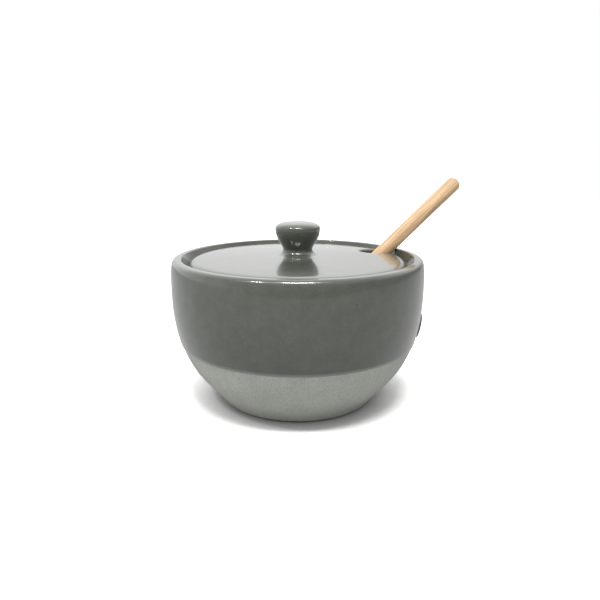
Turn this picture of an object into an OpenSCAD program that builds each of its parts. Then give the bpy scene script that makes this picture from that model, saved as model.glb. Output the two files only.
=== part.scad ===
// Honey pot: a round stoneware bowl whose rim has a ledge inside for its low
// domed lid, with a wooden honey dipper that leaves through a notch in the
// lid's edge and leans on the rim. Millimetres. The origin is the centre of
// the flat base, +Z is up, and the front of the pot faces -Y.

/* [Pot] */
// Widest outside diameter
body_d = 127; // [120:1:140]
// Height of the rim above the base
pot_height = 73.2; // [70:0.2:82]
// Depth of the widest point below the rim
belly_depth = 15.7; // [13:0.1:20]
// Diameter of the flat base
base_d = 79; // [66:1:86]
// Angle of the wall at the base, measured from upright
base_flare = 31; // [26:1:36]
// Thickness of the wall at the widest point
wall = 5.2; // [4.6:0.1:6.2]
// Thickness of the floor
floor_t = 6; // [5:0.25:8]
// Diameter of the flat part of the floor inside
floor_d = 54; // [46:1:60]
// Rounding of the base's outer edge
base_round = 0.8; // [0.4:0.1:1.4]

/* [Rim] */
// How far the rim's outside lies inside the widest point
rim_inset = 0.7; // [0.3:0.1:1.8]
// Thickness of the rim, of which the roundings leave a narrow flat on top
rim_t = 4.8; // [4.2:0.1:5.6]
// Rounding of the rim's outer edge
rim_round = 2.6; // [2:0.1:3]
// Rounding of the rim's inner edge
rim_edge_round = 0.8; // [0.5:0.1:1.2]

/* [Glaze] */
// Height of the glaze's lower edge on the outside
glaze_line = 30.9; // [22:0.1:40]
// Thickness of the glaze there
glaze_t = 0.4; // [0.2:0.05:0.6]

/* [Lid seat] */
// Depth of the ledge below the rim
seat_depth = 6.2; // [5:0.1:8]
// Width of the ledge that the lid lies on
ledge_w = 5.3; // [4.6:0.1:6.2]
// Thickness of the ledge at its inner edge
ledge_t = 3.2; // [2.4:0.1:4.2]
// Width that the seat's wall gains from the ledge up to the rim
seat_draft = 2.2; // [1.4:0.1:3]

/* [Lid] */
// Gap round the lid in its seat
lid_gap = 1.6; // [1:0.1:2.2]
// Thickness of the lid where its edge starts to round off
lid_t = 5.2; // [4.2:0.1:6]
// Rise of the lid's dome above that
dome_rise = 1.6; // [0.6:0.1:3]
// Width of the rounded edge on top
lid_round = 4; // [2.5:0.25:4.5]
// Rounding of the lower edge
lid_under_round = 0.9; // [0.5:0.1:1.4]
// Width of the flat ring under the edge
seat_ring_w = 6.5; // [5:0.25:8]
// Depth of the hollow inside that ring
hollow_depth = 1; // [0.5:0.1:1.5]

/* [Notch] */
// Gap between the dipper's handle and each side of the notch
notch_side_gap = 3.5; // [2:0.25:5]
// Gap between the handle and the notch's closed end
notch_end_gap = 2.6; // [1:0.1:4]
// Rounding of the notch's two corners at the lid's edge
notch_corner = 3; // [2:0.25:4]

/* [Knob] */
// Widest diameter of the knob
knob_d = 22.5; // [18:0.1:26]
// Height of the knob above the lid
knob_height = 16.6; // [14:0.2:22]
// Diameter of its neck
neck_d = 14.9; // [11:0.1:16]
// Height of the neck's narrowest point above the lid
neck_height = 2.8; // [2:0.2:4]
// Diameter of the knob's foot on the lid
knob_foot_d = 19.5; // [17:0.5:24]
// Depth of the rounded shoulder below the knob's top
shoulder_depth = 2.6; // [2:0.1:4.4]
// Rise of the knob's top over its shoulder
crown_rise = 0.7; // [0.3:0.1:1.5]

/* [Side seal] */
// Diameter of the round clay seal on the side
seal_d = 12.6; // [9:0.2:16]
// How far the seal stands out of the glaze
seal_proud = 0.7; // [0.4:0.1:1.2]
// Width of the seal's raised border
seal_border = 1.2; // [0.8:0.1:2]
// Height of the seal's middle above the base
seal_height = 38.7; // [36:0.1:50]
// Direction of the seal round the pot, from +X towards +Y
seal_azimuth = -8; // [-40:1:10]

/* [Dipper] */
// Full length of the dipper
dipper_length = 158.5; // [150:0.5:175]
// Diameter of the handle
handle_d = 7.6; // [6:0.1:8.4]
// Diameter of the grooved head
head_d = 25; // [20:0.5:28]
// Length of the grooved head
head_l = 40; // [34:1:44]
// Number of grooves in the head
groove_count = 6; // [4:1:7]
// Width of each groove
groove_w = 2.6; // [2:0.1:3]
// Diameter of the core that the grooves are cut down to
core_d = 14.5; // [12:0.5:16]
// Distance of the head's middle from the pot's axis
head_offset = 11.5; // [8:0.5:15]
// Direction that the handle leans to, from +X towards +Y
lean_azimuth = 23; // [10:0.5:35]
// Gap between the resting dipper and what it lies against
rest_gap = 0.3; // [0.2:0.05:0.5]

/* [Hidden] */
$fn = 96;

glaze_color = [0.37, 0.38, 0.355];
wood_color = [0.88, 0.74, 0.55];

// A cubic curve from a to d, which b and c pull. A length below whose name
// ends in pull is how far such a curve keeps the direction of its end.
function curve_point(a, b, c, d, t) =
    pow(1 - t, 3) * a + 3 * pow(1 - t, 2) * t * b + 3 * (1 - t) * t * t * c + t * t * t * d;
function curve(a, b, c, d, steps, from = 0, to = 1) =
    [for (i = [0:steps]) curve_point(a, b, c, d, from + (to - from) * i / steps)];
// Points of an arc round a centre, from one angle to another
function arc(centre, radius, from, to, steps) =
    [for (i = [0:steps])
        let (angle = from + (to - from) * i / steps)
        centre + radius * [cos(angle), sin(angle)]];

// Outside of the pot, as [radius, height]. Below the glaze it is bare clay.
base_r = base_d / 2;
belly_r = body_d / 2;
belly_height = pot_height - belly_depth;
base_pull = 14;
belly_pull = 0.68 * belly_height;
side_start = [base_r, 0];
side_start_pull = side_start + base_pull * [sin(base_flare), cos(base_flare)];
side_end = [belly_r - glaze_t, belly_height];
side_end_pull = side_end - [0, belly_pull];

function side_point(t) = curve_point(side_start, side_start_pull, side_end_pull, side_end, t);
// Halves the stretch until it holds the point at the wanted height
function side_at(height, low = 0, high = 1, rounds = 24) =
    let (middle = (low + high) / 2)
    rounds == 0 ? middle
    : side_point(middle).y < height ? side_at(height, middle, high, rounds - 1)
    : side_at(height, low, middle, rounds - 1);

glaze_start = side_at(glaze_line);
glaze_full = side_at(glaze_line + 2 * glaze_t);
clay_side = curve(side_start, side_start_pull, side_end_pull, side_end, 14,
    side_at(base_round), glaze_start);
glazed_side = [for (i = [0:11])
    side_point(glaze_full + (1 - glaze_full) * i / 12) + [glaze_t, 0]];

// Rim, and the shoulder that leads up to it from the belly
rim_r = belly_r - rim_inset;
rim_middle = [rim_r - rim_round, pot_height - rim_round];
rim_start_angle = 15;
rim_start = rim_middle + rim_round * [cos(rim_start_angle), sin(rim_start_angle)];
belly_shoulder_pull = 5;
rim_shoulder_pull = 3 * [sin(rim_start_angle), -cos(rim_start_angle)];
shoulder = curve([belly_r, belly_height], [belly_r, belly_height + belly_shoulder_pull],
    rim_start + rim_shoulder_pull, rim_start, 7, 0, 7 / 8);
rim_edge_middle = [rim_r - rim_t + rim_edge_round, pot_height - rim_edge_round];

// Seat of the lid and inside of the pot, as [radius, height]
seat_height = pot_height - seat_depth;
seat_r = rim_r - rim_t - seat_draft;
seat_slope = atan2(seat_draft, rim_edge_middle.y - seat_height);
seat_round = 0.6;
ledge_r = seat_r - ledge_w;
ledge_round = 1;
ledge_draft = 0.4;
ledge_pull = 4.3;
under_ledge = [ledge_r + ledge_draft, seat_height - ledge_t];
inner_side = [belly_r - wall, belly_height];
inner_floor = [floor_d / 2, floor_t];
inner_side_pull = 0.47 * belly_height;
inner_floor_pull = 0.67 * inner_floor.x;
rim = concat(
    arc(rim_middle, rim_round, rim_start_angle, 90, 8),
    arc(rim_edge_middle, rim_edge_round, 90, 180 - seat_slope, 4));
seat_corner = arc([seat_r - seat_round, seat_height + seat_round], seat_round,
    -seat_slope, -90, 3);
ledge_edge = arc([ledge_r + ledge_round, seat_height - ledge_round], ledge_round, 90, 180, 4);
ledge_root = curve(under_ledge, under_ledge + [ledge_pull, 0],
    inner_side + [0, ledge_pull], inner_side, 7, 0, 7 / 8);
inside = curve(inner_side, inner_side - [0, inner_side_pull],
    inner_floor + [inner_floor_pull, 0], inner_floor, 22);

pot_outline = concat([[0, 0], [base_r - base_round, 0]], clay_side, glazed_side, shoulder, rim,
    seat_corner, ledge_edge, ledge_root, inside, [[0, floor_t]]);

// Lid, as [radius, height]. Its dome is part of a large ball.
lid_r = seat_r - lid_gap;
dome_edge = [lid_r - lid_round, seat_height + lid_t];
dome_ball_r = (pow(dome_edge.x, 2) + pow(dome_rise, 2)) / (2 * dome_rise);
dome_middle = [0, dome_edge.y + dome_rise - dome_ball_r];
dome_edge_angle = acos(dome_edge.x / dome_ball_r);
knob_foot_r = knob_foot_d / 2;
knob_foot_angle = acos(knob_foot_r / dome_ball_r);
lid_top = dome_middle.y + dome_ball_r * sin(knob_foot_angle);
ring_r = lid_r - seat_ring_w;
lid_hollow_height = seat_height + hollow_depth;
lid_edge_low = [lid_r, dome_edge.y - 0.75 * lid_round];
lid_edge_pull = 0.52 * lid_round;
lid_outline = concat(
    [[0, lid_hollow_height], [ring_r - hollow_depth, lid_hollow_height], [ring_r, seat_height]],
    arc([lid_r - lid_under_round, seat_height + lid_under_round], lid_under_round, -90, 0, 5),
    curve(lid_edge_low, lid_edge_low + [0, lid_edge_pull],
        dome_edge + lid_edge_pull * [sin(dome_edge_angle), -cos(dome_edge_angle)], dome_edge,
        9, 0, 9 / 10),
    arc(dome_middle, dome_ball_r, dome_edge_angle, knob_foot_angle, 14),
    [[0, lid_top]]);

// Knob, as [radius, height], on the flat pad in the middle of the lid
knob_top = lid_top + knob_height;
knob_r = knob_d / 2;
neck = [neck_d / 2, lid_top + neck_height];
knob_wide = [knob_r, knob_top - crown_rise - shoulder_depth];
knob_foot_edge = 0.25;
neck_low_pull = 0.6 * neck_height;
neck_high_pull = 1.8;
flank_pull = 5.8;
shoulder_pull = 0.8 * shoulder_depth;
crown_flat_r = 2;
crown_pull = 0.66 * knob_r;
knob_outline = concat(
    [[0, lid_top], [knob_foot_r, lid_top]],
    curve([knob_foot_r, lid_top + knob_foot_edge], [neck.x, lid_top + knob_foot_edge],
        neck - [0, neck_low_pull], neck, 8, 0, 7 / 8),
    curve(neck, neck + [0, neck_high_pull], knob_wide - [0, flank_pull], knob_wide, 12, 0, 11 / 12),
    curve(knob_wide, knob_wide + [0, shoulder_pull],
        [crown_pull, knob_top], [crown_flat_r, knob_top], 12),
    [[0, knob_top]]);

// How the dipper lies: its head is an oval that rests on the floor, and the
// handle's lower side rests on the rim's inner edge. The head's height depends
// on the lean and the lean on that height, so a few rounds settle both.
handle_r = handle_d / 2;
head_r = head_d / 2;
half_head = head_l / 2;
function head_height(lean) =
    floor_t + rest_gap + norm([half_head * sin(lean), head_r * cos(lean)]);
function lean_for(height) =
    let (to_rim = rim_edge_middle - [-head_offset, height])
    atan2(to_rim.y, to_rim.x) + asin((rim_edge_round + handle_r + rest_gap) / norm(to_rim));
function settle(lean, rounds) =
    rounds == 0 ? lean : settle(lean_for(head_height(lean)), rounds - 1);
lean = settle(40, 12);
head_middle = [-head_offset, head_height(lean)];
handle_end = dipper_length - half_head;
function handle_axis_r(height) = head_middle.x + (height - head_middle.y) / tan(lean);

// Notch in the lid, along the direction of the lean
notch_w = handle_d + 2 * notch_side_gap;
notch_end = handle_axis_r(lid_hollow_height) - handle_r / sin(lean) - notch_end_gap;
notch_corner_y = notch_w / 2 + notch_corner;
notch_corner_x = sqrt(pow(lid_r - notch_corner, 2) - pow(notch_corner_y, 2));
notch_mouth_angle = atan2(notch_corner_y, notch_corner_x);
notch_reach = 1.2 * lid_r;

// Head of the dipper, as [radius, distance along the axis from its middle]. The
// dipper is turned from one piece of wood. Its discs and the core in its grooves
// are nodes of their own, so that each solid is convex and the grooves stay open.
function head_r_at(along) = head_r * sqrt(1 - pow(along / half_head, 2));
collar_w = 1.7;
collar_r = handle_r + collar_w;
collar_along = half_head * sqrt(1 - pow(collar_r / head_r, 2));
grooves_start = -0.66 * half_head;
grooves_end = 0.76 * half_head;
groove_pitch = (grooves_end - grooves_start) / groove_count;
nose_angle = acos(-grooves_start / half_head);
core_r = core_d / 2;
nose = [for (i = [1:9])
    let (angle = nose_angle * i / 9)
    [head_r * sin(angle), -half_head * cos(angle)]];
nose_outline = concat([[0, nose[0].y]], nose, [[0, grooves_start]]);
function groove_low(i) = grooves_start + i * groove_pitch;
function disc_side(low, high) =
    [for (along = [low, (low + high) / 2, high]) [head_r_at(along), along]];
// Disc above a groove, of which the last one ends in a collar round the handle
function disc_outline(i) =
    let (low = groove_low(i) + groove_w, high = groove_low(i + 1))
    concat([[0, low]], disc_side(low, high),
        i < groove_count - 1 ? [[0, high]] : [[collar_r, collar_along], [0, collar_along]]);

// Handle, as [radius, distance along the axis from the head's middle]
handle_round = 3;
handle_round_pull = 1.8;
handle_end_pull = 0.62 * handle_r;
handle_end_flat = 0.6;
handle_outline = concat(
    [[0, collar_along], [handle_r, collar_along]],
    curve([handle_r, handle_end - handle_round],
        [handle_r, handle_end - handle_round + handle_round_pull],
        [handle_end_pull, handle_end], [handle_end_flat, handle_end], 10),
    [[0, handle_end]]);

// Seal on the side: a flat seat in the wall, square to the wall's slope
seal_at = side_at(seal_height);
seal_slope = side_point(seal_at + 0.01) - side_point(seal_at - 0.01);
seal_tilt = atan2(seal_slope.x, seal_slope.y);
seal_sink = 0.6;
seal_face_t = 0.55 * seal_proud;

module along_seal() {
    rotate([0, 0, seal_azimuth])
        translate([side_point(seal_at).x + glaze_t, 0, seal_height])
            rotate([0, 90 + seal_tilt, 0])
                children();
}

module along_lean() {
    rotate([0, 0, lean_azimuth])
        translate([head_middle.x, 0, head_middle.y])
            rotate([0, 90 - lean, 0])
                children();
}

module pot() {
    color(glaze_color)
        difference() {
            rotate_extrude() polygon(pot_outline);
            along_seal() translate([0, 0, -seal_sink]) cylinder(d = seal_d, h = 2 * wall);
        }
}

module side_seal() {
    color(glaze_color)
        along_seal()
            difference() {
                translate([0, 0, -seal_sink]) cylinder(d = seal_d, h = seal_sink + seal_proud);
                translate([0, 0, seal_face_t]) cylinder(d = seal_d - 2 * seal_border, h = wall);
            }
}

// Plan of the notch along +X: a slot with a round end, whose mouth widens
// over two corners that meet the slot and the lid's edge smoothly
module notch_plan() {
    translate([notch_end + notch_w / 2, 0]) circle(d = notch_w);
    translate([notch_end + notch_w / 2, -notch_w / 2]) square([notch_reach, notch_w]);
    difference() {
        polygon([[0, 0], notch_reach * [cos(notch_mouth_angle), sin(notch_mouth_angle)],
            notch_reach * [cos(notch_mouth_angle), -sin(notch_mouth_angle)]]);
        translate([0, -notch_reach]) square([notch_corner_x, 2 * notch_reach]);
        for (side = [-1, 1])
            translate([notch_corner_x, side * notch_corner_y]) circle(r = notch_corner);
    }
}

module lid() {
    color(glaze_color)
        difference() {
            rotate_extrude() polygon(lid_outline);
            rotate([0, 0, lean_azimuth])
                translate([0, 0, seat_height - lid_t])
                    linear_extrude(3 * lid_t) notch_plan();
        }
}

module lid_knob() {
    color(glaze_color) rotate_extrude() polygon(knob_outline);
}

module dipper_handle() {
    color(wood_color) along_lean() rotate_extrude() polygon(handle_outline);
}

module dipper_discs() {
    color(wood_color)
        along_lean() {
            rotate_extrude() polygon(nose_outline);
            for (i = [0:groove_count - 1])
                rotate_extrude() polygon(disc_outline(i));
        }
}

module dipper_core() {
    color(wood_color)
        along_lean()
            for (i = [0:groove_count - 1])
                translate([0, 0, groove_low(i)]) cylinder(r = core_r, h = groove_w);
}

pot();
side_seal();
lid();
lid_knob();
dipper_handle();
dipper_discs();
dipper_core();
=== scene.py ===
import math

import bmesh
import bpy
import numpy as np
from mathutils import Matrix, Vector
from mathutils.geometry import delaunay_2d_cdt


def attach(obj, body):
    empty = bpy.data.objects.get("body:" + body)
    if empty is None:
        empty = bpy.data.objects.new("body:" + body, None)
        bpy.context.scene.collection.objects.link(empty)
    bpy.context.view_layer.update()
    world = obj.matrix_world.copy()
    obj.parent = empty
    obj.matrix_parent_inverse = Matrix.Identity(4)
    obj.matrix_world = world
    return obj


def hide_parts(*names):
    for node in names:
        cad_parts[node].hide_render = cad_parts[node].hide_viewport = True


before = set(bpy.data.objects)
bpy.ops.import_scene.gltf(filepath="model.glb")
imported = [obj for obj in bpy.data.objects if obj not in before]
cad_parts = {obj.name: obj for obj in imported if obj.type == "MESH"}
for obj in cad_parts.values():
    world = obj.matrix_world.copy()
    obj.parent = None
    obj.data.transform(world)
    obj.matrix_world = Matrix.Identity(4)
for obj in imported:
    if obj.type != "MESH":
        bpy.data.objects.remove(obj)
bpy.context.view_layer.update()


# POT
# A bowl of grey stoneware, dipped rim down in a gloss glaze that stops in a
# clean line above the base, with a ledge inside its rim for the lid. The
# sizes of this and every other piece are in millimetres, as in the solids.

MM = 0.001
body_r = 63.5
pot_height = 73.2
belly_height = 57.5
base_r = 39.5
base_flare = math.radians(31)
base_pull = 14
belly_pull = 0.68 * belly_height
base_round = 0.8
inner_r = body_r - 5.2
floor_t = 6
floor_r = 27
glaze_line = 30.9
glaze_t = 0.4
rim_r = body_r - 0.7
rim_round = 2.6
rim_middle = (rim_r - rim_round, pot_height - rim_round)
rim_start = 15
rim_edge_round = 0.8
rim_edge_middle = (rim_r - 4.8 + rim_edge_round, pot_height - rim_edge_round)
seat_height = pot_height - 6.2
seat_r = 55.8
seat_round = 0.6
seat_slope = math.degrees(math.atan2(2.2, rim_edge_middle[1] - seat_height))
ledge_r = seat_r - 5.3
ledge_t = 3.2
ledge_pull = 4.3


def curve(a, b, c, d, steps, start=0.0, end=1.0):
    """Points of a cubic curve from a to d, pulled towards b and c."""
    t = np.linspace(start, end, steps + 1)[:, None]
    a, b, c, d = (np.array(p, float) for p in (a, b, c, d))
    return list((1 - t) ** 3 * a + 3 * (1 - t) ** 2 * t * b + 3 * (1 - t) * t * t * c + t ** 3 * d)


def arc(centre, radius, start, end, steps):
    """Points of an arc round a centre, from one angle to another, in degrees."""
    angles = np.radians(np.linspace(start, end, steps + 1))
    return [(centre[0] + radius * math.cos(a), centre[1] + radius * math.sin(a)) for a in angles]


def add(tree, kind, inputs=None, **settings):
    """Adds a node with its settings. An input is a number, a colour or another node's output."""
    node = tree.nodes.new(kind)
    for name, value in settings.items():
        setattr(node, name, value)
    for key, value in (inputs or {}).items():
        if isinstance(value, bpy.types.NodeSocket):
            tree.links.new(value, node.inputs[key])
        else:
            node.inputs[key].default_value = value
    return node


def linear(colour):
    """An sRGB hex colour as linear red, green, blue and alpha."""
    parts = [int(colour[i:i + 2], 16) / 255 for i in (1, 3, 5)]
    return tuple(p / 12.92 if p <= 0.04045 else ((p + 0.055) / 1.055) ** 2.4 for p in parts) + (1,)


def wheel_tree():
    """A tree that turns a row of points, the profile, round the Z axis, as on a wheel or lathe."""
    tree = bpy.data.node_groups.new("wheel", "GeometryNodeTree")
    tree.interface.new_socket("Profile", in_out="INPUT", socket_type="NodeSocketGeometry")
    tree.interface.new_socket("Steps round", in_out="INPUT", socket_type="NodeSocketInt")
    tree.interface.new_socket("Finish", in_out="INPUT", socket_type="NodeSocketMaterial")
    tree.interface.new_socket("Turned", in_out="OUTPUT", socket_type="NodeSocketGeometry")
    given = add(tree, "NodeGroupInput").outputs
    size = add(tree, "GeometryNodeAttributeDomainSize", {"Geometry": given["Profile"]})
    across = add(tree, "ShaderNodeMath", {0: given["Steps round"], 1: 1},
                 operation="ADD").outputs[0]
    grid = add(tree, "GeometryNodeMeshGrid", {"Vertices X": size.outputs["Point Count"],
                                              "Vertices Y": across})
    index = add(tree, "GeometryNodeInputIndex").outputs[0]
    step = add(tree, "ShaderNodeMath", {0: index, 1: across}, operation="MODULO").outputs[0]
    row = add(tree, "ShaderNodeMath", {0: index, 1: step}, operation="SUBTRACT").outputs[0]
    row = add(tree, "ShaderNodeMath", {0: row, 1: across}, operation="DIVIDE").outputs[0]
    row = add(tree, "ShaderNodeMath", {0: row}, operation="ROUND").outputs[0]
    place = add(tree, "GeometryNodeInputPosition").outputs[0]
    sample = add(tree, "GeometryNodeSampleIndex", {"Geometry": given["Profile"], "Value": place,
                                                   "Index": row}, data_type="FLOAT_VECTOR")
    point = add(tree, "ShaderNodeSeparateXYZ", {0: sample.outputs[0]}).outputs
    turn = add(tree, "ShaderNodeMath", {0: step, 1: given["Steps round"]}, operation="DIVIDE")
    angle = add(tree, "ShaderNodeMath", {0: turn.outputs[0], 1: 2 * math.pi},
                operation="MULTIPLY").outputs[0]
    cosine = add(tree, "ShaderNodeMath", {0: angle}, operation="COSINE").outputs[0]
    sine = add(tree, "ShaderNodeMath", {0: angle}, operation="SINE").outputs[0]
    x = add(tree, "ShaderNodeMath", {0: point["X"], 1: cosine}, operation="MULTIPLY").outputs[0]
    y = add(tree, "ShaderNodeMath", {0: point["X"], 1: sine}, operation="MULTIPLY").outputs[0]
    turned = add(tree, "ShaderNodeCombineXYZ", {"X": x, "Y": y, "Z": point["Z"]}).outputs[0]
    shaped = add(tree, "GeometryNodeSetPosition", {"Geometry": grid.outputs["Mesh"],
                                                   "Position": turned})
    closed = add(tree, "GeometryNodeMergeByDistance", {"Geometry": shaped.outputs[0],
                                                       "Distance": 2e-6})
    outward = add(tree, "GeometryNodeFlipFaces", {0: closed.outputs[0]})
    real = add(tree, "GeometryNodeRealizeInstances", {"Geometry": outward.outputs[0]})
    finish = add(tree, "GeometryNodeSetMaterial", {"Geometry": real.outputs[0],
                                                   "Material": given["Finish"]})
    add(tree, "NodeGroupOutput", {"Turned": finish.outputs[0]})
    return tree


wheel = wheel_tree()


def turned(name, profile, finish, steps=256, place=None, crease=40):
    """A piece turned from a profile of [radius, height] points, and then put in its place."""
    mesh = bpy.data.meshes.new(name)
    mesh.from_pydata([(r * MM, 0, z * MM) for r, z in profile], [], [])
    rough = bpy.data.objects.new(name + "_profile", mesh)
    bpy.context.scene.collection.objects.link(rough)
    modifier = rough.modifiers.new("wheel", "NODES")
    modifier.node_group = wheel
    sockets = {s.name: s.identifier for s in wheel.interface.items_tree if s.in_out == "INPUT"}
    modifier[sockets["Steps round"]] = steps
    modifier[sockets["Finish"]] = finish
    ready = rough.evaluated_get(bpy.context.evaluated_depsgraph_get())
    mesh = bpy.data.meshes.new_from_object(ready)
    bpy.data.objects.remove(rough)
    mesh.materials.clear()
    mesh.materials.append(finish)
    mesh.polygons.foreach_set("material_index", [0] * len(mesh.polygons))
    if place is not None:
        mesh.transform(place)
    mesh.shade_smooth()
    mesh.set_sharp_from_angle(angle=math.radians(crease))
    piece = bpy.data.objects.new(name, mesh)
    bpy.context.scene.collection.objects.link(piece)
    return piece


def side(steps, low=0.0, high=1.0):
    """The wall's outside, from the base to its widest point."""
    clay_r = body_r - glaze_t
    foot_pull = (base_r + base_pull * math.sin(base_flare), base_pull * math.cos(base_flare))
    return curve((base_r, 0), foot_pull, (clay_r, belly_height - belly_pull),
                 (clay_r, belly_height), steps, low, high)


def side_at(height):
    """How far along that line a height lies, from 0 to 1."""
    line = np.array(side(2000))
    return float(np.interp(height, line[:, 1], np.linspace(0, 1, len(line))))


def glazed_stoneware():
    """Gloss stoneware glaze: a clear, hard, glassy coat over a grey body of fine crystals.
    The coat gives sharp reflections, and the body under it a soft sheen and a faint mottle."""
    material = bpy.data.materials.new("glossy_grey_stoneware_glaze")
    material.use_nodes = True
    tree = material.node_tree
    shader = tree.nodes["Principled BSDF"]
    space = add(tree, "ShaderNodeTexCoord").outputs["Object"]
    # Mottle some 6 mm across, where the glaze lies thicker or thinner
    mottle = add(tree, "ShaderNodeTexNoise", {"Vector": space, "Scale": 160, "Detail": 4,
                                              "Roughness": 0.6})
    body = add(tree, "ShaderNodeMixRGB", {"Fac": mottle.outputs["Fac"], "Color1": linear("#3A3F36"),
                                          "Color2": linear("#575B51")})
    # Fine dust in the glaze, 0.4 mm across, near the smallest that shows here
    dust = add(tree, "ShaderNodeTexNoise", {"Vector": space, "Scale": 2500, "Detail": 2})
    grain = add(tree, "ShaderNodeMapRange", {"Value": dust.outputs["Fac"], "From Min": 0.3,
                                             "From Max": 0.7, "To Min": 0.86, "To Max": 1.14})
    body = add(tree, "ShaderNodeVectorMath", {0: body.outputs[0], 1: grain.outputs[0]},
               operation="MULTIPLY")
    # The glaze thins out over its last 2 mm, so that the pale clay shows through there
    height = add(tree, "ShaderNodeSeparateXYZ", {0: space}).outputs["Z"]
    thin = add(tree, "ShaderNodeMapRange", {"Value": height, "From Min": glaze_line * MM,
                                            "From Max": (glaze_line + 2) * MM, "To Min": 0.55,
                                            "To Max": 0})
    body = add(tree, "ShaderNodeMixRGB", {"Fac": thin.outputs[0], "Color1": body.outputs[0],
                                          "Color2": linear("#A8AAA3")})
    # Iron specks, 0.5 mm across, in a few of the cells of a 12 mm pattern
    cells = add(tree, "ShaderNodeTexVoronoi", {"Vector": space, "Scale": 85})
    pick = add(tree, "ShaderNodeSeparateColor", {0: cells.outputs["Color"]})
    few = add(tree, "ShaderNodeMath", {0: pick.outputs[0], 1: 0.07}, operation="LESS_THAN")
    near = add(tree, "ShaderNodeMapRange", {"Value": cells.outputs["Distance"], "From Min": 0.016,
                                            "From Max": 0.034, "To Min": 1, "To Max": 0})
    iron = add(tree, "ShaderNodeMath", {0: few.outputs[0], 1: near.outputs[0]},
               operation="MULTIPLY")
    colour = add(tree, "ShaderNodeMixRGB", {"Fac": iron.outputs[0], "Color1": body.outputs[0],
                                            "Color2": linear("#1C1B18")})
    tree.links.new(colour.outputs[0], shader.inputs["Base Color"])
    # The glaze ran a little before it set, which leaves it not quite flat over 4 mm
    waves = add(tree, "ShaderNodeTexNoise", {"Vector": space, "Scale": 240, "Detail": 1})
    bump = add(tree, "ShaderNodeBump", {"Height": waves.outputs["Fac"], "Strength": 0.25,
                                        "Distance": 0.00004})
    tree.links.new(bump.outputs[0], shader.inputs["Normal"])
    tree.links.new(bump.outputs[0], shader.inputs["Coat Normal"])
    shader.inputs["Roughness"].default_value = 0.28
    shader.inputs["IOR"].default_value = 1.5
    shader.inputs["Coat Weight"].default_value = 1
    shader.inputs["Coat IOR"].default_value = 1.5
    shader.inputs["Coat Roughness"].default_value = 0.08
    return material


def bare_clay():
    """Bare stoneware, fired but not glazed: pale grey, dry and matt, with grog that shows as
    fine dark and light grains, and a little rough to the touch."""
    material = bpy.data.materials.new("bare_grey_stoneware")
    material.use_nodes = True
    tree = material.node_tree
    shader = tree.nodes["Principled BSDF"]
    space = add(tree, "ShaderNodeTexCoord").outputs["Object"]
    cloud = add(tree, "ShaderNodeTexNoise", {"Vector": space, "Scale": 110, "Detail": 3})
    body = add(tree, "ShaderNodeMixRGB", {"Fac": cloud.outputs["Fac"], "Color1": linear("#A8AAA3"),
                                          "Color2": linear("#BEC0B8")})
    # Grains of grog, 0.5 mm across
    grog = add(tree, "ShaderNodeTexNoise", {"Vector": space, "Scale": 1900, "Detail": 3,
                                            "Roughness": 0.7})
    grain = add(tree, "ShaderNodeMapRange", {"Value": grog.outputs["Fac"], "From Min": 0.3,
                                             "From Max": 0.7, "To Min": 0.72, "To Max": 1.26})
    colour = add(tree, "ShaderNodeVectorMath", {0: body.outputs[0], 1: grain.outputs[0]},
                 operation="MULTIPLY")
    # The lowest 1.4 mm is painted a darker brown: painted shade for the dark contact line where the
    # foot meets the floor
    height = add(tree, "ShaderNodeSeparateXYZ", {0: space}).outputs["Z"]
    painted_foot_shade = add(tree, "ShaderNodeMapRange", {"Value": height, "From Min": 0.5 * MM,
                                             "From Max": 1.4 * MM, "To Min": 0.85, "To Max": 0})
    colour = add(tree, "ShaderNodeMixRGB", {"Fac": painted_foot_shade.outputs[0], "Color1": colour.outputs[0],
                                            "Color2": linear("#4A3328")})
    tree.links.new(colour.outputs[0], shader.inputs["Base Color"])
    bump = add(tree, "ShaderNodeBump", {"Height": grog.outputs["Fac"], "Strength": 0.5,
                                        "Distance": 0.00012})
    tree.links.new(bump.outputs[0], shader.inputs["Normal"])
    shader.inputs["Roughness"].default_value = 0.8
    shader.inputs["IOR"].default_value = 1.45
    return material


glaze = glazed_stoneware()
clay = bare_clay()

# The glaze ends in a soft bead, which reaches its full thickness over this height
bead = 2 * glaze_t
bead_start = side(2, side_at(glaze_line + 0.1), side_at(glaze_line + 0.6 * bead))
bead_shares = (0.5, 0.9, 0.99)
belly = (body_r, belly_height)
shoulder_end = arc(rim_middle, rim_round, rim_start, rim_start, 1)[0]
shoulder_pull = (shoulder_end[0] + 3 * math.sin(math.radians(rim_start)),
                 shoulder_end[1] - 3 * math.cos(math.radians(rim_start)))
inner_belly = (inner_r, belly_height)
pot_profile = (
    [(0, 0), (base_r - base_round, 0)]
    + side(40, side_at(base_round), side_at(glaze_line))
    + [(r + share * glaze_t, z) for share, (r, z) in zip(bead_shares, bead_start)]
    + [(r + glaze_t, z) for r, z in side(56, side_at(glaze_line + bead), 1)]
    + curve(belly, (body_r, belly_height + 5), shoulder_pull, shoulder_end, 24)[1:]
    + arc(rim_middle, rim_round, rim_start, 90, 20)[1:]
    + arc(rim_edge_middle, rim_edge_round, 90, 180 - seat_slope, 10)
    + arc((seat_r - seat_round, seat_height + seat_round), seat_round, -seat_slope, -90, 6)
    + arc((ledge_r + 1, seat_height - 1), 1, 90, 180, 8)
    + curve((ledge_r + 0.4, seat_height - ledge_t),
            (ledge_r + 0.4 + ledge_pull, seat_height - ledge_t),
            (inner_r, belly_height + ledge_pull), inner_belly, 16)
    + curve(inner_belly, (inner_r, 0.53 * belly_height), (1.67 * floor_r, floor_t),
            (floor_r, floor_t), 56)[1:]
    + [(0, floor_t)])

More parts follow.
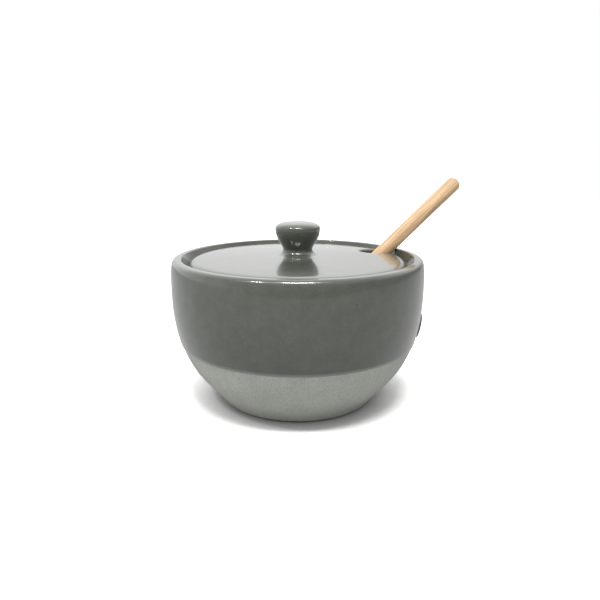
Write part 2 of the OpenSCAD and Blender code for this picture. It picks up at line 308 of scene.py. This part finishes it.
pot = turned("pot_bowl", pot_profile, glaze, steps=320)
pot.data.materials.append(clay)
for face in pot.data.polygons:
    x, y, z = face.center / MM
    outside = face.normal.x * x + face.normal.y * y > 0 or z < 1
    if z < glaze_line + 0.05 and outside:
        face.material_index = 1
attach(pot, "pot")
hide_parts("pot")


# SIDE SEAL
# A small round medallion of the same clay, pressed on the side before it was
# glazed. It is left plain inside its raised border.

seal_r = 6.3
seal_border = 1.2
seal_proud = 0.7
seal_face_t = 0.55 * seal_proud
seal_height = 38.7
seal_azimuth = math.radians(-8)
seal_sunk = 0.6
seal_edge_round = 0.6
seal_border_round = 0.25
seal_border_r = seal_r - seal_border
seal_line = np.array(side(2, side_at(seal_height - 0.5), side_at(seal_height + 0.5)))
seal_tilt = math.atan2(seal_line[2, 0] - seal_line[0, 0], seal_line[2, 1] - seal_line[0, 1])
seal_place = (Matrix.Rotation(seal_azimuth, 4, "Z")
              @ Matrix.Translation(((seal_line[1, 0] + glaze_t) * MM, 0, seal_height * MM))
              @ Matrix.Rotation(math.pi / 2 + seal_tilt, 4, "Y"))
seal_profile = (
    [(0, -seal_sunk), (seal_r, -seal_sunk)]
    + arc((seal_r - seal_edge_round, seal_proud - seal_edge_round), seal_edge_round, 0, 90, 8)
    + arc((seal_border_r + seal_border_round, seal_proud - seal_border_round),
          seal_border_round, 90, 180, 4)
    + [(seal_border_r, seal_face_t + 0.1), (seal_border_r - 0.15, seal_face_t), (0, seal_face_t)])
seal = turned("side_seal_medallion", seal_profile, glaze, steps=96, place=seal_place)
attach(seal, "pot")
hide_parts("side_seal")


# LID
# A low dome of the same stoneware, glazed all over but for the ring that it
# sits on. Its notch for the dipper was cut while the clay was soft, so that
# the glaze rounds every edge of it.

lid_r = seat_r - 1.6
lid_round = 4
lid_shoulder = seat_height + 5.2
dome_rise = 1.6
dome_edge_r = lid_r - lid_round
dome_ball_r = (dome_edge_r ** 2 + dome_rise ** 2) / (2 * dome_rise)
dome_middle = lid_shoulder + dome_rise - dome_ball_r
under_round = 0.9
ring_r = lid_r - 6.5
hollow_depth = 1
lean_azimuth = math.radians(23)
notch_half = 7.3
notch_end = 36.84
notch_middle = notch_end + notch_half
notch_corner = 3
notch_edge = 1.2
notch_under_edge = 0.6
notch_fade = 3.4
corner_y = notch_half + notch_corner
corner_x = math.sqrt((lid_r - notch_corner) ** 2 - corner_y ** 2)
mouth_angle = math.atan2(corner_y, corner_x)
lid_edge = ((lid_r, lid_shoulder - 3), (lid_r, lid_shoulder - 0.9),
            (dome_edge_r + 2.1, lid_shoulder - 0.13), (dome_edge_r, lid_shoulder))
edge_curve = np.array(curve(*lid_edge, 200))


def dome(r):
    """Height of the lid's top at a radius, with its rounded edge."""
    if r > dome_edge_r:
        return float(np.interp(r, edge_curve[::-1, 0], edge_curve[::-1, 1]))
    return dome_middle + math.sqrt(dome_ball_r ** 2 - r * r)


def underside(r):
    """Height of the lid's underside at a radius."""
    if r > lid_r - under_round:
        return seat_height + rounding(lid_r - r, under_round)
    return seat_height + float(np.interp(r, [ring_r - hollow_depth, ring_r], [hollow_depth, 0]))


def rounding(depth, width):
    """How far a rounded edge has dropped, at a depth inside it."""
    share = max(0.0, 1 - depth / width)
    return width * (1 - math.sqrt(max(0.0, 1 - share * share)))


def notch_depth(x, y):
    """How far inside the clay a point lies from the notch, whose line is the X axis."""
    y = abs(y)
    if x > corner_x and y < corner_y + (x - corner_x) * math.tan(mouth_angle):
        return notch_corner - math.hypot(x - corner_x, y - corner_y)
    if x > notch_middle:
        return y - notch_half
    return math.hypot(x - notch_middle, y) - notch_half


def notch_share(r):
    """How much of the notch's rounding applies. It fades out towards the lid's own edge."""
    share = min(1.0, max(0.0, (lid_r - r) / notch_fade))
    return share * share * (3 - 2 * share)


def lid_top_at(x, y):
    """Height of the lid's top at a place, with the notch's rounded edge."""
    r = math.hypot(x, y)
    return dome(r) - notch_share(r) * rounding(notch_depth(x, y), notch_edge)


def lid_under_at(x, y):
    """Height of the lid's underside at a place, with the notch's rounded edge."""
    r = math.hypot(x, y)
    return underside(r) + notch_share(r) * rounding(notch_depth(x, y), notch_under_edge)


def lid_outline(depth):
    """The lid's outline in plan, a depth inside its edge, as a closed loop of points."""
    half = arc((0, 0), lid_r - depth, 180, math.degrees(mouth_angle), 170)
    half += arc((corner_x, corner_y), notch_corner - depth, math.degrees(mouth_angle), -90, 12)[1:]
    sides = 6
    half += [(corner_x + (notch_middle - corner_x) * i / sides, notch_half + depth)
             for i in range(1, sides)]
    half += arc((notch_middle, 0), notch_half + depth, 90, 180, 14)
    return half + [(x, -y) for x, y in half[-2:0:-1]]


def lid_mesh():
    """The lid's mesh: rings that follow its outline over each edge, and a fine net between them."""
    # Rings to this depth inside the edge follow the outline, and the net starts beyond them
    edge_depth = 2.4
    net_gap = 3.2
    depths = [lid_r - r for r, z in curve(*lid_edge, 16)]
    near = [d for d in depths if d < edge_depth]
    far = [d for d in depths if d >= edge_depth] + [5.2, 7.2, 10]
    radii = [lid_r - d for d in far] + list(np.arange(41.5, 2, -3.3))
    net = [(0.0, 0.0)]
    for r in radii:
        around = max(12, int(2 * math.pi * r / net_gap))
        net += [(r * math.cos(2 * math.pi * i / around), r * math.sin(2 * math.pi * i / around))
                for i in range(around)]
    net = [p for p in net if notch_depth(*p) > near[-1] + 0.5]
    verts, faces = [], []

    def ring(depth, height):
        """Adds the outline at a depth as a ring of points, and gives the index of its first."""
        start = len(verts)
        verts.extend((x, y, height(x, y)) for x, y in lid_outline(depth))
        return start

    count = len(lid_outline(0))

    def bridge(a, b):
        """Joins two rings with faces."""
        for i in range(count):
            j = (i + 1) % count
            faces.append((a + i, a + j, b + j, b + i))

    def fill(last, height):
        """Closes a ring with the net inside it."""
        loop = [Vector(verts[last + i][:2]) for i in range(count)]
        inner = [Vector(p) for p in net]
        edges = [(i, (i + 1) % count) for i in range(count)]
        points, _, tris, origin, _, _ = delaunay_2d_cdt(loop + inner, edges, [], 1, 1e-6)
        index = []
        for p, source in zip(points, origin):
            if source and source[0] < count:
                index.append(last + source[0])
            else:
                index.append(len(verts))
                verts.append((p.x, p.y, height(p.x, p.y)))
        faces.extend(tuple(index[i] for i in tri) for tri in tris)

    top = [ring(d, lid_top_at) for d in near]
    under = [ring(d, lid_under_at) for d in (0, 0.06, 0.2, 0.4, 0.65, 0.9, 1.6, edge_depth)]
    for a, b in zip(top, top[1:]):
        bridge(a, b)
    for a, b in zip(under, under[1:]):
        bridge(a, b)
    bridge(top[0], under[0])
    fill(top[-1], lid_top_at)
    fill(under[-1], lid_under_at)
    mesh = bpy.data.meshes.new("lid_dome")
    mesh.from_pydata([(x * MM, y * MM, z * MM) for x, y, z in verts], [], faces)
    mesh.transform(Matrix.Rotation(lean_azimuth, 4, "Z"))
    shell = bmesh.new()
    shell.from_mesh(mesh)
    bmesh.ops.recalc_face_normals(shell, faces=shell.faces)
    shell.to_mesh(mesh)
    shell.free()
    mesh.shade_smooth()
    mesh.set_sharp_from_angle(angle=math.radians(40))
    return mesh


lid = bpy.data.objects.new("lid_dome", lid_mesh())
bpy.context.scene.collection.objects.link(lid)
lid.data.materials.append(glaze)
lid.data.materials.append(clay)
for face in lid.data.polygons:
    x, y, z = face.center / MM
    if face.normal.z < -0.9 and math.hypot(x, y) > ring_r - hollow_depth and z < seat_height + 0.3:
        face.material_index = 1
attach(lid, "lid")
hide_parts("lid")


# KNOB
# Thrown on the middle of the lid from a lump of the same clay: a narrow neck
# that flares to a flat-topped button, and a soft fillet where it meets the lid.

knob_r = 11.25
knob_foot_r = 9.75
knob_height = 16.6
knob_top = dome(knob_foot_r) + knob_height
neck = (7.45, dome(knob_foot_r) + 2.8)
knob_wide = (knob_r, knob_top - 3.3)
foot = (11, dome(11) - 0.04)
knob_profile = (
    [(0, dome(0) - 1.5), (foot[0] - 0.3, foot[1] - 1), foot]
    + curve(foot, (foot[0] - 2, dome(9) + 0.1), (neck[0], neck[1] - 1.7), neck, 16)[1:]
    + curve(neck, (neck[0], neck[1] + 1.8), (knob_r, knob_wide[1] - 5.8), knob_wide, 28)[1:]
    + curve(knob_wide, (knob_r, knob_wide[1] + 2.1), (0.66 * knob_r, knob_top),
            (0, knob_top), 28)[1:])
knob = turned("lid_knob_button", knob_profile, glaze, steps=160)
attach(knob, "lid")
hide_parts("lid_knob")


# DIPPER
# A honey dipper turned from one piece of pale beech: a plain round handle,
# and a small collar under it on an oval head, which is grooved down to its
# core to hold the honey. It lies loose in the pot.

lean = math.radians(38.796)
handle_r = 3.8
dipper_length = 158.5
head_r = 12.5
half_head = 20
handle_end = dipper_length - half_head
head_place = (-11.5, 0, 22.1725)
core_r = 7.25
collar_r = 5.5
groove_count = 6
groove_w = 2.6
first_groove = -0.66 * half_head
last_groove = 0.76 * half_head
groove_pitch = (last_groove - first_groove) / groove_count
disc_round = 0.35
collar = half_head * math.sqrt(1 - (collar_r / head_r) ** 2)
fillet = 1
tip_round = 3
lean_place = (Matrix.Rotation(lean_azimuth, 4, "Z")
              @ Matrix.Translation([c * MM for c in head_place])
              @ Matrix.Rotation(math.pi / 2 - lean, 4, "Y"))


def sanded_beech():
    """Beech, turned and sanded: warm pale tan with a straight grain along the dipper and the
    short dark flecks of its rays. It is dry and only slightly shiny."""
    material = bpy.data.materials.new("sanded_beech")
    material.use_nodes = True
    tree = material.node_tree
    shader = tree.nodes["Principled BSDF"]
    space = add(tree, "ShaderNodeTexCoord").outputs["Object"]
    # Turned so that its Z axis runs along the dipper, and then drawn out along the grain
    home = lean_place.inverted()
    along = add(tree, "ShaderNodeMapping", {"Vector": space, "Location": home.translation,
                                            "Rotation": home.to_euler()})
    drawn = add(tree, "ShaderNodeMapping", {"Vector": along.outputs[0], "Scale": (1, 1, 0.05)})
    # Grain lines 0.8 mm wide and some 16 mm long
    lines = add(tree, "ShaderNodeTexNoise", {"Vector": drawn.outputs[0], "Scale": 1250, "Detail": 3,
                                             "Roughness": 0.6})
    # Bands 3 mm wide, where one year's wood is darker than the next
    bands = add(tree, "ShaderNodeTexNoise", {"Vector": drawn.outputs[0], "Scale": 300, "Detail": 2})
    wood = add(tree, "ShaderNodeMixRGB", {"Fac": bands.outputs["Fac"], "Color1": linear("#BC9266"),
                                          "Color2": linear("#E2C49C")})
    grain = add(tree, "ShaderNodeMapRange", {"Value": lines.outputs["Fac"], "From Min": 0.3,
                                             "From Max": 0.7, "To Min": 0.7, "To Max": 1.16})
    colour = add(tree, "ShaderNodeVectorMath", {0: wood.outputs[0], 1: grain.outputs[0]},
                 operation="MULTIPLY")
    # Ray flecks 0.3 mm wide and 2 mm long
    fleck_space = add(tree, "ShaderNodeMapping", {"Vector": along.outputs[0],
                                                  "Scale": (1, 1, 0.15)})
    flecks = add(tree, "ShaderNodeTexVoronoi", {"Vector": fleck_space.outputs[0], "Scale": 900})
    fleck = add(tree, "ShaderNodeMapRange", {"Value": flecks.outputs["Distance"], "From Min": 0.08,
                                             "From Max": 0.2, "To Min": 0.35, "To Max": 0})
    colour = add(tree, "ShaderNodeMixRGB", {"Fac": fleck.outputs[0], "Color1": colour.outputs[0],
                                            "Color2": linear("#A87A4C")})
    # End grain soaks up more of everything, so the tip is darker
    height = add(tree, "ShaderNodeSeparateXYZ", {0: along.outputs[0]}).outputs["Z"]
    tip = add(tree, "ShaderNodeMapRange", {"Value": height, "From Min": (handle_end - 2.6) * MM,
                                           "From Max": (handle_end - 0.4) * MM, "To Min": 0,
                                           "To Max": 0.55})
    colour = add(tree, "ShaderNodeMixRGB", {"Fac": tip.outputs[0], "Color1": colour.outputs[0],
                                            "Color2": linear("#9A734C")})
    tree.links.new(colour.outputs[0], shader.inputs["Base Color"])
    bump = add(tree, "ShaderNodeBump", {"Height": lines.outputs["Fac"], "Strength": 0.3,
                                        "Distance": 0.00008})
    tree.links.new(bump.outputs[0], shader.inputs["Normal"])
    shader.inputs["Roughness"].default_value = 0.5
    shader.inputs["IOR"].default_value = 1.45
    return material


def head_r_at(along):
    """Radius of the head's oval at a distance from its middle."""
    return head_r * math.sqrt(max(0.0, 1 - (along / half_head) ** 2))


def disc(low, high):
    """One disc between two grooves, from the core out to its two eased corners and back."""
    lower = head_r_at(low)
    upper = head_r_at(high)
    rim = [(head_r_at(a), a) for a in np.linspace(low + disc_round, high - disc_round, 6)]
    return ([(core_r, low)] + arc((lower - disc_round, low + disc_round), disc_round, -90, -10, 4)
            + rim[1:-1] + arc((upper - disc_round, high - disc_round), disc_round, 10, 90, 4)
            + [(core_r, high)])


nose_angle = math.degrees(math.acos(-first_groove / half_head))
dipper_profile = [(head_r * math.sin(a), -half_head * math.cos(a))
                  for a in np.radians(np.linspace(0, nose_angle - 1.2, 24))]
dipper_profile += arc((head_r_at(first_groove) - disc_round, first_groove - disc_round),
                      disc_round, 10, 90, 4)
dipper_profile.append((core_r, first_groove))
for i in range(groove_count):
    low = first_groove + i * groove_pitch + groove_w
    high = first_groove + (i + 1) * groove_pitch
    dipper_profile += disc(low, high)
dipper_profile = dipper_profile[:-1]
dipper_profile += arc((collar_r - disc_round, collar - disc_round), disc_round, 20, 90, 4)
dipper_profile += arc((handle_r + fillet, collar + fillet), fillet, -90, -180, 8)
handle_heights = np.linspace(collar + fillet, handle_end - tip_round, 40)
dipper_profile += [(handle_r, z) for z in handle_heights[1:-1]]
dipper_profile += curve((handle_r, handle_end - tip_round), (handle_r, handle_end - 1.2),
                        (0.62 * handle_r, handle_end), (0, handle_end), 14)
dipper = turned("turned_honey_dipper", dipper_profile, sanded_beech(), steps=128, place=lean_place)
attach(dipper, "dipper")
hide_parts("dipper_handle", "dipper_discs", "dipper_core")


# FLOOR, LIGHT AND CAMERA
# A sheet of white paper in a white room. A long and a short lamp hang
# overhead, a little in front, and the room is darker towards the camera.
# Sizes and places here are in metres.

def white_paper():
    """Matt white paper. What the camera sees of it is lifted to white, and it keeps the pot's
    shadow.
    Near the pot, ambient occlusion darkens it further as painted shade."""
    material = bpy.data.materials.new("white_paper")
    material.use_nodes = True
    tree = material.node_tree
    tree.nodes.clear()
    path = add(tree, "ShaderNodeLightPath").outputs
    paper = add(tree, "ShaderNodeBsdfDiffuse", {"Color": (0.42, 0.42, 0.42, 1)})
    # The paper is lifted less where ambient occlusion finds the pot close by. This painted shade
    # keeps the contact shadow dark
    painted_shadow_ao = add(tree, "ShaderNodeAmbientOcclusion", {"Distance": 0.05}, samples=8)
    lift_and_painted_shadow = add(tree, "ShaderNodeMapRange", {"Value": painted_shadow_ao.outputs["AO"], "From Min": 0.25,
                                            "From Max": 0.7, "To Min": 0.5, "To Max": 1.45})
    bright = add(tree, "ShaderNodeBsdfDiffuse", {"Color": lift_and_painted_shadow.outputs[0]})
    mix = add(tree, "ShaderNodeMixShader", {0: path["Is Camera Ray"], 1: paper.outputs[0],
                                            2: bright.outputs[0]})
    add(tree, "ShaderNodeOutputMaterial", {"Surface": mix.outputs[0]})
    return material


floor_mesh = bpy.data.meshes.new("paper_floor")
floor_mesh.from_pydata([(-1.2, -0.5, 0), (1.2, -0.5, 0), (1.2, 1.5, 0), (-1.2, 1.5, 0)], [],
                       [(0, 1, 2, 3)])
floor_mesh.materials.append(white_paper())
floor = bpy.data.objects.new("paper_floor", floor_mesh)
bpy.context.scene.collection.objects.link(floor)

world = bpy.data.worlds.new("white_room")
bpy.context.scene.world = world
world.use_nodes = True
tree = world.node_tree
tree.nodes.clear()
path = add(tree, "ShaderNodeLightPath").outputs
ray = add(tree, "ShaderNodeTexCoord").outputs["Generated"]
part = add(tree, "ShaderNodeSeparateXYZ", {0: ray}).outputs
# Round the room: 0 and 1 are behind the pot, 0.25 is its left, 0.5 the camera, 0.75 its right
turn = add(tree, "ShaderNodeMath", {0: part["X"], 1: part["Y"]}, operation="ARCTAN2")
turn = add(tree, "ShaderNodeMath", {0: turn.outputs[0], 1: 2 * math.pi}, operation="DIVIDE")
turn = add(tree, "ShaderNodeMath", {0: turn.outputs[0], 1: 1}, operation="ADD")
turn = add(tree, "ShaderNodeMath", {0: turn.outputs[0], 1: 1}, operation="MODULO")
turn = add(tree, "ShaderNodeMath", {0: 1, 1: turn.outputs[0]}, operation="SUBTRACT")
walls = add(tree, "ShaderNodeValToRGB", {"Fac": turn.outputs[0]})
stops = [(0, 1), (0.07, 0.9), (0.13, 1.1), (0.3, 1.05), (0.36, 0.7), (0.5, 0.47), (0.58, 0.45),
         (0.66, 0.4), (0.75, 0.34), (0.88, 0.24), (0.94, 0.75), (1, 1)]
for place, grey in stops[1:-1]:
    walls.color_ramp.elements.new(place).color = (grey, grey, grey, 1)
walls.color_ramp.elements[0].color = (1, 1, 1, 1)
walls.color_ramp.elements[-1].color = (1, 1, 1, 1)
# Higher up it is an even ceiling, brighter towards the back, where the daylight comes in
ceiling = add(tree, "ShaderNodeMapRange", {"Value": part["Y"], "From Min": -0.2, "From Max": 0.8,
                                           "To Min": 0.7, "To Max": 1.5})
overhead = add(tree, "ShaderNodeMapRange", {"Value": part["Z"], "From Min": 0.15, "From Max": 0.5,
                                            "To Min": 0, "To Max": 1})
room = add(tree, "ShaderNodeMixRGB", {"Fac": overhead.outputs[0], "Color1": walls.outputs[0],
                                      "Color2": ceiling.outputs[0]})
shown = add(tree, "ShaderNodeMixRGB", {"Fac": path["Is Camera Ray"], "Color1": room.outputs[0],
                                       "Color2": (1, 1, 1, 1)})
sky = add(tree, "ShaderNodeBackground", {"Color": shown.outputs[0], "Strength": 1})
add(tree, "ShaderNodeOutputWorld", {"Surface": sky.outputs[0]})


def lamp(name, place, size, watts):
    """A flat overhead lamp that faces straight down."""
    light = bpy.data.lights.new(name, "AREA")
    light.shape = "RECTANGLE"
    light.size, light.size_y = size
    light.energy = watts
    fitting = bpy.data.objects.new(name, light)
    fitting.location = place
    fitting.visible_camera = False
    bpy.context.scene.collection.objects.link(fitting)


lamp("lamp_long", (0.02, -0.5, 1.2), (0.46, 0.1), 12)
lamp("lamp_short", (-0.6, -0.5, 1.2), (0.18, 0.1), 5)

camera = bpy.data.cameras.new("camera")
camera.lens = 32.36
camera.sensor_width = 36
camera.shift_x = 0.0040
viewer = bpy.data.objects.new("camera", camera)
viewer.matrix_world = (Matrix.Translation((0, -0.27167, 0.11817))
                       @ Matrix.Rotation(math.radians(90 - 14.16), 4, "X")
                       @ Matrix.Rotation(math.radians(0.1), 4, "Z"))
bpy.context.scene.collection.objects.link(viewer)
bpy.context.scene.camera = viewer
bpy.context.scene.view_settings.view_transform = "Standard"
